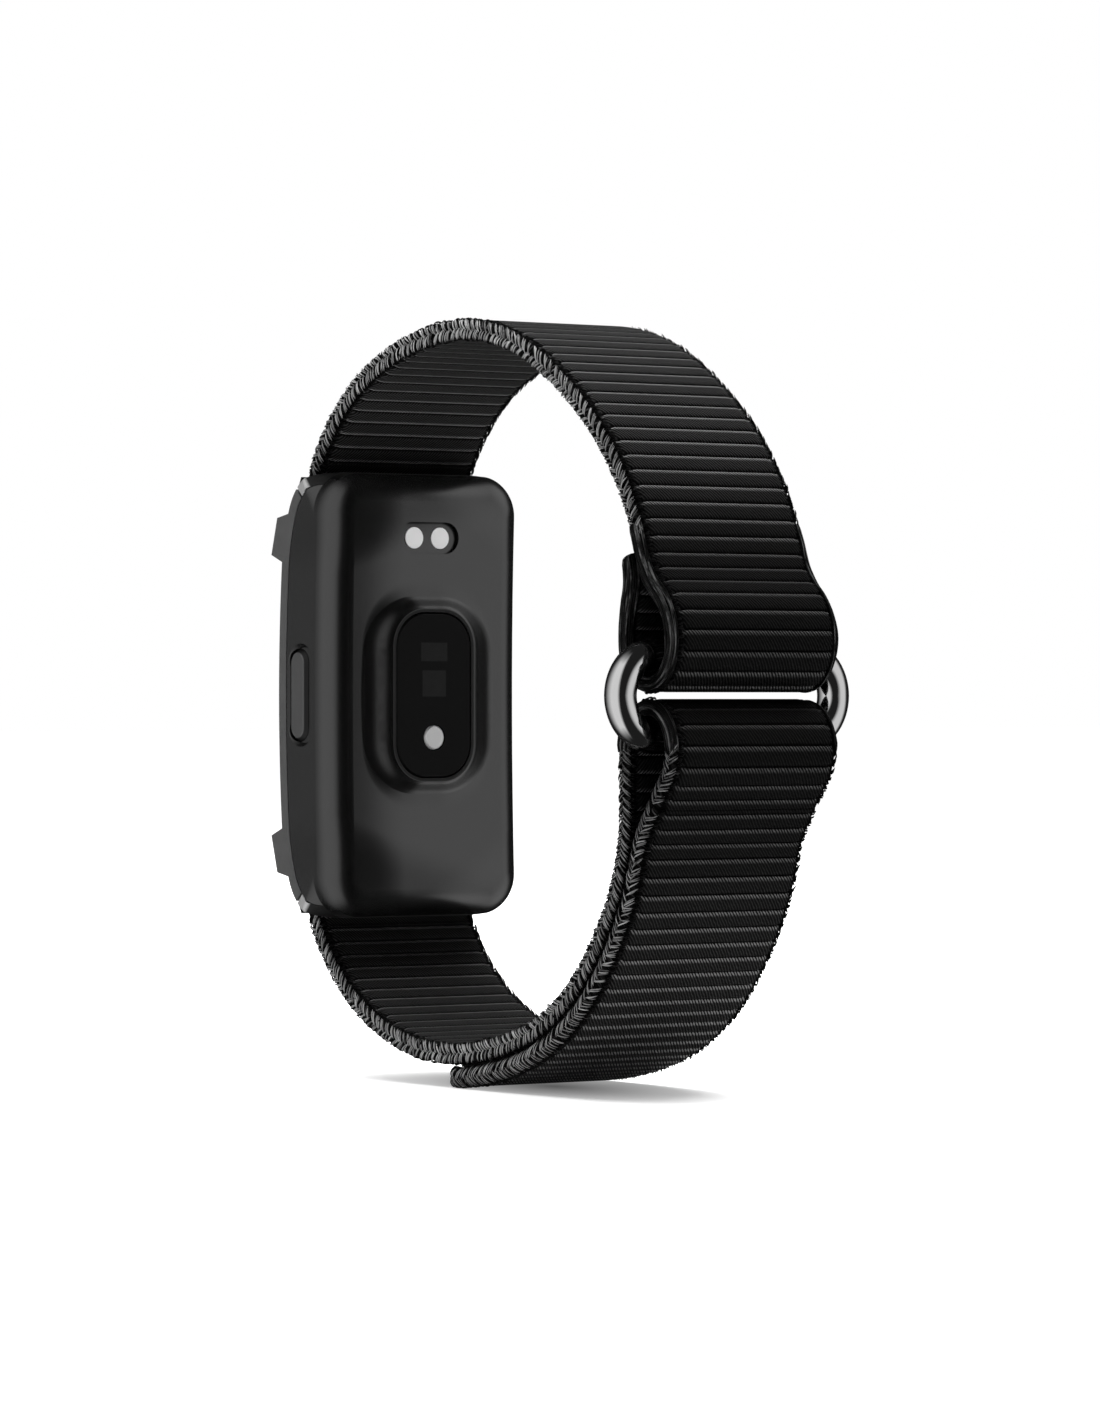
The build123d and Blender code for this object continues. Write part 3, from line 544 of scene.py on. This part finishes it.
# A bundle is its phase, its advance, its lift from and to, its depth from and to, its bows in depth and
# in lift, and its tone.
bundles = [
    (0.0, 0.95, -0.96, 0.12, 9.5, 9.76, 0.12, 0.0, 1.0),
    (0.5, 0.95, 0.96, -0.12, 9.5, 9.76, 0.12, 0.0, 1.0),
    (0.1, 0.3, 0.1, 0.9, 9.68, 9.44, 0.04, 0.0, -3.0),
    (0.6, 0.3, -0.1, -0.9, 9.68, 9.44, 0.04, 0.0, -3.0),
]
wraps = [                  # the dark ones, on the outer and on the inner face
    (0.3, 0.1, 0.86, 0.92, 8.7, 9.45, 0.0, 0.16, -4.5),
    (0.3, 0.1, -0.86, -0.92, 8.9, 9.45, 0.0, -0.12, -4.5),
]
rng = np.random.default_rng(7)
core = 9.2                 # the middle of the edge yarn, from the middle of the strap


def away(ring, angle, edge, depth, lift):
    """How far each direction of a ring points away from the core: its dot product with the unit vector
    that joins the core to the strand, in the plane of depth and lift."""
    upward = ring[..., 2] * np.cos(angle)[..., None] - ring[..., 0] * np.sin(angle)[..., None]
    out, size = depth - core, np.hypot(depth - core, lift)
    return ring[..., 1] * edge * (out / size)[..., None] + upward * (lift / size)[..., None]


def spindles(route, outward, ranges, corner, chosen, sides=(-1, 1)):
    """Strands along the edges. Along one, with t from 0 to 1: the distance along the strap, the lift
    and the depth grow evenly, each bow is a sine, and the thickness is the square root of a sine over
    the share that stays at the tips."""
    t = np.linspace(0, 1, 5)
    bulge = np.sin(math.pi * t)
    turn_round = np.linspace(0, 2 * math.pi, 5, endpoint=False)
    cosines, sines = np.cos(turn_round)[:, None], np.sin(turn_round)[:, None]
    starts = np.concatenate([np.arange(low, high, knot_pitch) for low, high in ranges])
    starts = (starts[:, None] + strand_step * np.array([-1, 0, 1])).ravel()
    grids, marks = [], []
    for edge in sides:
        for phase, advance, lift_from, lift_to, depth_from, depth_to, depth_bow, lift_bow, tone in chosen:
            chance = rng.normal(0, 1, (5, len(starts), 1))
            first = starts[:, None] + phase + start_chance * chance[0]
            s = np.clip(first + t * (advance + advance_chance * chance[1]), 0, route.length - 0.05)
            lift = lift_from + (lift_to - lift_from) * t + lift_bow * bulge + lift_chance * chance[2]
            lift = outward * lift
            depth_bulge = (depth_bow + depth_chance * chance[3]) * bulge
            depth = depth_from + (depth_to - depth_from) * t + depth_bulge
            depth = depth + tip_width(s, route.length, corner) - 10
            x, z, angle = route.at(s)
            line = np.stack([x - lift * np.sin(angle), edge * depth, z + lift * np.cos(angle)], -1)
            ahead = np.gradient(line, axis=1)
            ahead /= np.linalg.norm(ahead, axis=2, keepdims=True) + 1e-9
            side = np.cross(ahead, np.stack([np.cos(angle), 0 * angle, np.sin(angle)], -1))
            side /= np.linalg.norm(side, axis=2, keepdims=True) + 1e-9
            up = np.cross(ahead, side)
            radius = spindle_radius * (spindle_tip + (1 - spindle_tip) * np.sqrt(bulge + 1e-9)) + 0 * s
            ring = cosines * side[:, :, None] + sines * up[:, :, None]
            grids += list(line[:, :, None] + radius[:, :, None, None] * ring)
            own = np.broadcast_to((tone + chance[4])[:, :, None], radius.shape + (len(turn_round),))
            along = np.broadcast_to(s[:, :, None], own.shape)
            marks += list(np.stack([along, away(ring, angle, edge, depth, lift), own], -1))
    return grids, marks


# %% [markdown]
# Where the strap is folded round the ring, the edge yarn is pulled straight: the loops turn into a
# bundle of smooth strands that run along the strap. They are tubes, side by side across the edge and
# over its corners. The dark bundles beside the ribs go on past them.

# %% Pulled strands
strand_places = [(-0.86, 9.2), (-0.86, 9.42), (-0.78, 9.62), (-0.6, 9.78), (-0.36, 9.84), (-0.12, 9.88),
                 (0.12, 9.88), (0.36, 9.84), (0.6, 9.76), (0.82, 9.62), (0.93, 9.4)]
strand_radius = 0.13
strand_squeeze = 0.9       # how far the strands close up towards the middle of the edge
strand_apart = 30          # from one strand's place in the weave to the next, so that no two look alike
tone_mean, tone_spread = -2.6, 1.8
press_depth, press_reach = 0.35, 4.0
lift_wander, depth_wander, radius_wander = (11, 0.06), (8, 0.05), (6, 0.025)       # steps and size
tip_length, tip_share = 0.8, 0.25


def slow_noise(count, step, size):
    """Random numbers that change slowly along a row: values at every step, joined by straight lines."""
    knots = rng.normal(0, size, count // step + 3)
    return np.interp(np.arange(count) / step, np.arange(len(knots)), knots)


def pulled(route, low, high):
    """Tubes along both edges, each at its own lift to the left of the route and its own depth, which
    wander slowly. Both folds turn to the right round the ring, which presses the strands on that side
    outwards: by a bell curve of the distance from the fold's middle, the seventh station of a route."""
    s = np.arange(low, high, 0.3)
    pressed = press_depth * np.exp(-((s - route.stations[6]) / press_reach) ** 2)
    x, z, angle = route.at(s)
    turn_round = np.linspace(0, 2 * math.pi, 8, endpoint=False)
    cosines, sines = np.cos(turn_round)[:, None], np.sin(turn_round)[:, None]
    grids, marks = [], []
    for edge in (-1, 1):
        for number, (lift_at, depth_at) in enumerate(strand_places):
            lift = lift_at * strand_squeeze + slow_noise(len(s), *lift_wander) + pressed * (lift_at < 0)
            depth = depth_at + slow_noise(len(s), *depth_wander)
            line = np.stack([x - lift * np.sin(angle), edge * depth, z + lift * np.cos(angle)], -1)
            ahead = np.gradient(line, axis=0)
            ahead /= np.linalg.norm(ahead, axis=1, keepdims=True)
            side = np.cross(ahead, (0.0, 1.0, 0.0))
            side /= np.linalg.norm(side, axis=1, keepdims=True)
            up = np.cross(ahead, side)
            radius = (strand_radius + slow_noise(len(s), *radius_wander)).clip(0.1)
            radius = radius * np.clip(np.minimum(s - s[0], s[-1] - s) / tip_length + tip_share, 0, 1)
            ring = cosines * side[:, None] + sines * up[:, None]
            grids.append(line[:, None] + radius[:, None, None] * ring)
            facing = away(ring, angle, edge, depth, lift)
            tone = np.full(facing.shape, rng.normal(tone_mean, tone_spread))
            along = np.broadcast_to(s[:, None] + strand_apart * number, facing.shape)
            marks.append(np.stack([along, facing, tone], -1))
    return grids, marks


def edges(name, route, outward, knitted, straight=(), corner=0.0):
    """The whole edge yarn of a strap: knitted stretches, straight ones, and the dark wraps beside them,
    which stay off the ring's side of a fold."""
    parts = [spindles(route, outward, knitted, corner, bundles),
             spindles(route, outward, knitted, corner, wraps, sides=(-1,)),
             *(spindles(route, 1, [span], corner, wraps[:1], sides=(-1,)) for span in straight),
             *(pulled(route, *span) for span in straight)]
    return tube_mesh(name, *(sum(group, []) for group in zip(*parts)))


fold = upper.stations[4]
upper_edges = edges("upper_strap_edges", upper, 1, knitted=[(1.5, fold - 1.5)],
                    straight=[(fold - 2.5, upper.length - 0.1)])
turn_in, turn_out = lower.stations[5] + 0.5, lower.stations[7] - 0.5
lower_edges = edges("lower_strap_edges", lower, -1,
                    knitted=[(1.5, turn_in), (turn_out, lower.length - 1)],
                    straight=[(turn_in - 0.7, turn_out + 0.7)])
flap_edges = edges("flap_edges", flap, 1, knitted=[(0.2, flap.length - 1.6)], corner=flap_corner)

# %% [markdown]
# ## Which piece moves with what
#
# The upper strap and the inner lower strap stay with the tracker. The flap peels off its hook tape, so
# it bends at the ring; here its pieces only have their placement baked into their points.


for piece in (upper_cloth, upper_edges, lower_cloth, lower_edges):
    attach(piece, "tracker")
for piece in (flap_cloth, flap_edges):
    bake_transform(piece)
for piece, border, node in ((upper_cloth, upper_edges, "upper_strap"),
                            (lower_cloth, lower_edges, "lower_strap"),
                            (flap_cloth, flap_edges, "strap_flap")):
    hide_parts(node)

# %% [markdown]
# ## Cloth and yarn
#
# On the real strap each rib is wrapped by fine threads that run a little slantwise along the strap,
# about three to the millimetre, and beside the knitted edge the threads turn to run across. One
# material does both: waves across or along the strap, broken up by long noise, bend the surface, and
# the same height darkens the gaps. Both the cloth and the yarn are painted darker half way up, at the
# ring, and lighter towards the top and bottom of the loop: painted light from above and below.

# %% Webbing material
thread_pitch, wrap_pitch = 0.36, 0.34
ring_level = 39             # height of the ring over the floor
cloth = Mat("ribbed_webbing", Roughness=0.5, Specular_IOR_Level=0.03)
along, across, _ = cloth.surface("weave")
wander = cloth.noise(along * 0.9, across * 2.5, 0.0, 1.0) * 0.25
threads = (across - along * 0.8 + wander).wave(thread_pitch)
fibres = cloth.noise(along * 1.4, across * 14, 3.0, 1.0, 3.0)
wrap = (along + wander).wave(wrap_pitch)
wrap_fibres = cloth.noise(along * 9, across * 1.6, 7.0, 1.0, 3.0)
near_edge = across.between(-8.55, -8.8) + across.between(9.05, 9.2)
inner = threads * 0.5 + fibres * 0.7
outer = wrap * 0.5 + wrap_fibres * 0.7
height = inner * (1 - near_edge) + outer * near_edge
broad = cloth.noise(along * 0.25, across * 0.2, 11.0, 1.0)
rib_share = (along * (1 / rib_pitch)).math("FRACT")
# painted shade: the grooves between the ribs are painted darker
painted_groove_shade = rib_share.between(0.06, 0.02) + rib_share.between(0.88, 0.98)
# painted highlight: one shoulder of each rib is painted lighter, hatched by the threads
painted_rib_highlight = rib_share.between(0.02, 0.07) * rib_share.between(0.3, 0.08) * (1 - near_edge)
up = cloth.surface("level")[0]
# painted light: darker at the ring's height, lighter towards the top and bottom of the loop
painted_light_by_level = (up - ring_level).math("ABSOLUTE").between(12, 36, 0.42, 2.1)
body = (threads**3 * 1.3 + fibres * 0.1 + broad * 0.1) * (1 - painted_groove_shade) * (1 - near_edge * 0.85)
body_share = 0.085
tone = (body * body_share + painted_rib_highlight * threads**1.5) * painted_light_by_level
cloth.link(Base_Color=cloth.colours(tone.between(0, 1), grey(2), grey(135)))
cloth.relief(height, 0.09)

yarn = Mat("edge_yarn", Roughness=0.42, Specular_IOR_Level=0.15)
length, facing, own = yarn.surface("weave")
filaments = yarn.noise(length * 0.6, facing * 2.5, own * 3.0, 1.0, 3.0, 0.6).between(0.3, 0.7)
up = yarn.surface("level")[0]
# painted light: darker at the ring's height, lighter towards the top and bottom of the loop
painted_light_by_level = (up - ring_level).math("ABSOLUTE").between(6, 34, 0.42, 1.3)
# painted highlight and shade: each strand is lighter where it faces out and darker on its flanks
share = (own * 0.2 + 0.1 + filaments * 0.75) * facing.between(0.35, 1.0) * painted_light_by_level
yarn.link(Base_Color=yarn.colours(share.between(0, 1), grey(2), grey(225)))
yarn.relief(filaments, 0.08)
for piece in (upper_cloth, lower_cloth, flap_cloth):
    piece.data.materials.append(cloth.material)
for piece in (upper_edges, lower_edges, flap_edges):
    piece.data.materials.append(yarn.material)

# %% [markdown]
# ## Moulded, metal and glass finishes
#
# The rigid parts keep their shape and get finishes. A moulded black surface isn't one flat colour: it
# has a fine grain and slow changes of gloss. Most finishes here are the same recipe with other numbers,
# so one function makes them: two close colours and a roughness mixed by noise, and a grain of a given
# size and depth.


# %% Plain finishes
def finish(name, dark, light, roughness, grain_mm, depth_mm, metallic=0.0, specular=0.5):
    """Two colours and two roughnesses mixed by slow noise, with a fine grain of that size and depth."""
    mat = Mat(name, Metallic=metallic, Specular_IOR_Level=specular)
    x, y, z = mat.place()
    slow = mat.noise(x, y, z, 0.35).between(0.3, 0.7)
    grain = mat.noise(x, y, z, 1 / grain_mm, 3.0)
    mat.link(Base_Color=mat.colours(slow * 0.5 + grain * 0.5, dark, light),
             Roughness=slow.between(0, 1, roughness * 0.92, roughness * 1.08))
    return mat.relief(grain, depth_mm)


bezel_grey = finish("bezel_plastic", grey(92), grey(106), 0.38, 0.12, 0.004, metallic=0.5)
chrome = finish("ring_chrome", grey(196), grey(204), 0.1, 2.0, 0.0005, metallic=1.0)
contact_metal = finish("contact_metal", grey(246), grey(252), 0.4, 0.2, 0.0005, metallic=0.6)
disc_metal = finish("disc_metal", grey(200), grey(206), 0.4, 0.15, 0.0005, metallic=0.6)
glass_black = finish("dark_glass", grey(6), grey(9), 0.06, 3.0, 0.0002)
display = finish("display", grey(4), grey(8), 0.2, 0.5, 0.001)
rubber = finish("seal_rubber", grey(20), grey(30), 0.8, 0.15, 0.01, specular=0.2)
foam = finish("foam", grey(30), grey(52), 0.95, 0.08, 0.03, specular=0.1)
frame_plastic = finish("frame_plastic", grey(38), grey(48), 0.5, 0.15, 0.006)
board = finish("circuit_board", (0.004, 0.03, 0.012), (0.008, 0.06, 0.022), 0.4, 0.5, 0.01)
steel = finish("plated_steel", grey(150), grey(172), 0.3, 0.12, 0.002, metallic=1.0)
foil = finish("cell_foil", grey(160), grey(186), 0.35, 0.8, 0.02, metallic=0.9)
flex = finish("flex_film", (0.32, 0.1, 0.01), (0.42, 0.15, 0.02), 0.3, 0.4, 0.004)
package = finish("sensor_package", grey(70), grey(90), 0.25, 0.2, 0.003)
hooks = finish("hook_tape", grey(10), grey(42), 0.7, 0.22, 0.16, specular=0.3)

# %% [markdown]
# Three moulded parts need more than the recipe. The back of the case falls away softly to the button
# side and to both ends, and the foot of the island runs out into it. These falls take a millimetre or
# so over many millimetres: too slow to show as an edge, but plain to see in the gloss, so the material
# bends the surface there. The button's bevel is darker than its flat top, and the end links show bare
# metal on their outer cheeks.

# %% Case, button and end links
button_top = -11.95         # where the button's flat top lies across the tracker
window_width, window_height, window_corner, window_middle = 9.25, 17.0, 3.5, 39.1
case_black = Mat("case_plastic", Specular_IOR_Level=0.85)
x, y, z = case_black.place()
height = (z - window_middle).math("ABSOLUTE")
beside = (y.math("ABSOLUTE") - (window_width / 2 - window_corner)).math("MAXIMUM", 0.0)
above = (height - (window_height / 2 - window_corner)).math("MAXIMUM", 0.0)
from_window = (beside**2 + above**2) ** 0.5 - window_corner
to_button = y.between(-14, -3, -0.9, 0.0, "SMOOTHSTEP")
to_ends = (height - y * 0.3).between(15.5, 24.5, 0.0, -1.3, "SMOOTHSTEP")        # aslant
to_corners = (height + y * 0.6).between(20, 27, 0.0, -0.8, "SMOOTHSTEP")
island_foot = from_window.between(0.5, 3.5, 0.0, -0.33, "SMOOTHSTEP")
swell = to_button + to_ends + to_corners + island_foot
case_black.relief(swell + case_black.noise(x, y, z, 8.0, 3.0) * 0.003, 1.0)
case_black.link(Base_Color=case_black.colours(case_black.noise(x, y, z, 0.35), grey(9), grey(15)),
                Roughness=from_window.between(0.3, 0.42, 0.9, 0.26))

button_grey = Mat("button_plastic", Metallic=0.5, Roughness=0.3)
x, y, z = button_grey.place()
bevel = y.between(button_top + 0.04, button_top + 0.12)
button_grey.link(Base_Color=button_grey.colours(bevel, grey(92), grey(12)))
button_grey.relief(button_grey.noise(x, y, z, 10.0, 3.0), 0.003)

link_plastic = Mat("link_plastic", Roughness=0.5, Specular_IOR_Level=0.3)
x, y, z = link_plastic.place()
cheek = y.math("ABSOLUTE").between(11.7, 11.9)
link_plastic.link(Base_Color=link_plastic.colours(cheek, grey(16), grey(205)), Metallic=cheek * 0.8)
link_plastic.relief(link_plastic.noise(x, y, z, 7.0, 3.0), 0.006)
print("mixed finishes:", case_black.material.name, button_grey.material.name, link_plastic.material.name)

# %% [markdown]
# The sensor window is a dark tinted pane: two optical packages behind it show as slightly lighter
# patches. Real see-through tint would need many bounces for almost no light, so the patches are mixed
# into its colour by their place.

# %% Sensor window
window = Mat("sensor_window", Roughness=0.1, Specular_IOR_Level=0.06)
x, y, z = window.place()


def patch(width, height, middle_z, soft=0.06):
    """1 inside a rectangle on the window and 0 outside, with an edge that is soft to either side."""
    aside, level = y.math("ABSOLUTE"), (z - middle_z).math("ABSOLUTE")
    return (aside.between(width / 2 + soft, width / 2 - soft)
            * level.between(height / 2 + soft, height / 2 - soft))


packages = patch(2.9, 2.7, window_middle + 1.2) + patch(3.25, 1.9, window_middle + 4.45)
haze = window.noise(x, y, z, 0.4)
window.link(Base_Color=window.colours(packages * 0.85 + haze * 0.1, grey(6), grey(34)))
window.relief(window.noise(x, y, z, 3.0), 0.0003)

finishes = {
    case_black: ["main_case"],
    bezel_grey: ["front_bezel"],
    button_grey: ["side_button"],
    chrome: ["slide_ring"],
    contact_metal: ["charging_contacts"],
    disc_metal: ["skin_contact"],
    glass_black: ["cover_glass"],
    display: ["display_panel"],
    rubber: ["bezel_gasket", "button_seal"],
    foam: ["display_cushion", "battery_tape", "motor_tape"],
    frame_plastic: ["inner_frame"],
    link_plastic: ["end_link_upper", "end_link_lower"],
    board: ["main_board", "sensor_board"],
    steel: ["board_screws", "shield_can", "vibration_motor", "spring_bar_upper", "spring_bar_lower",
            "contact_spring"],
    foil: ["battery"],
    flex: ["sensor_flex"],
    package: ["photodiode", "light_emitters", "button_switch"],
    hooks: ["hook_patch"],
    window: ["sensor_window"],
}
for mat, names in finishes.items():
    for name in names:
        for slot in nodes[name].material_slots:
            slot.material = mat.material
print("finished parts:", sum(map(len, finishes.values())), "of", len(nodes), "less the three straps")
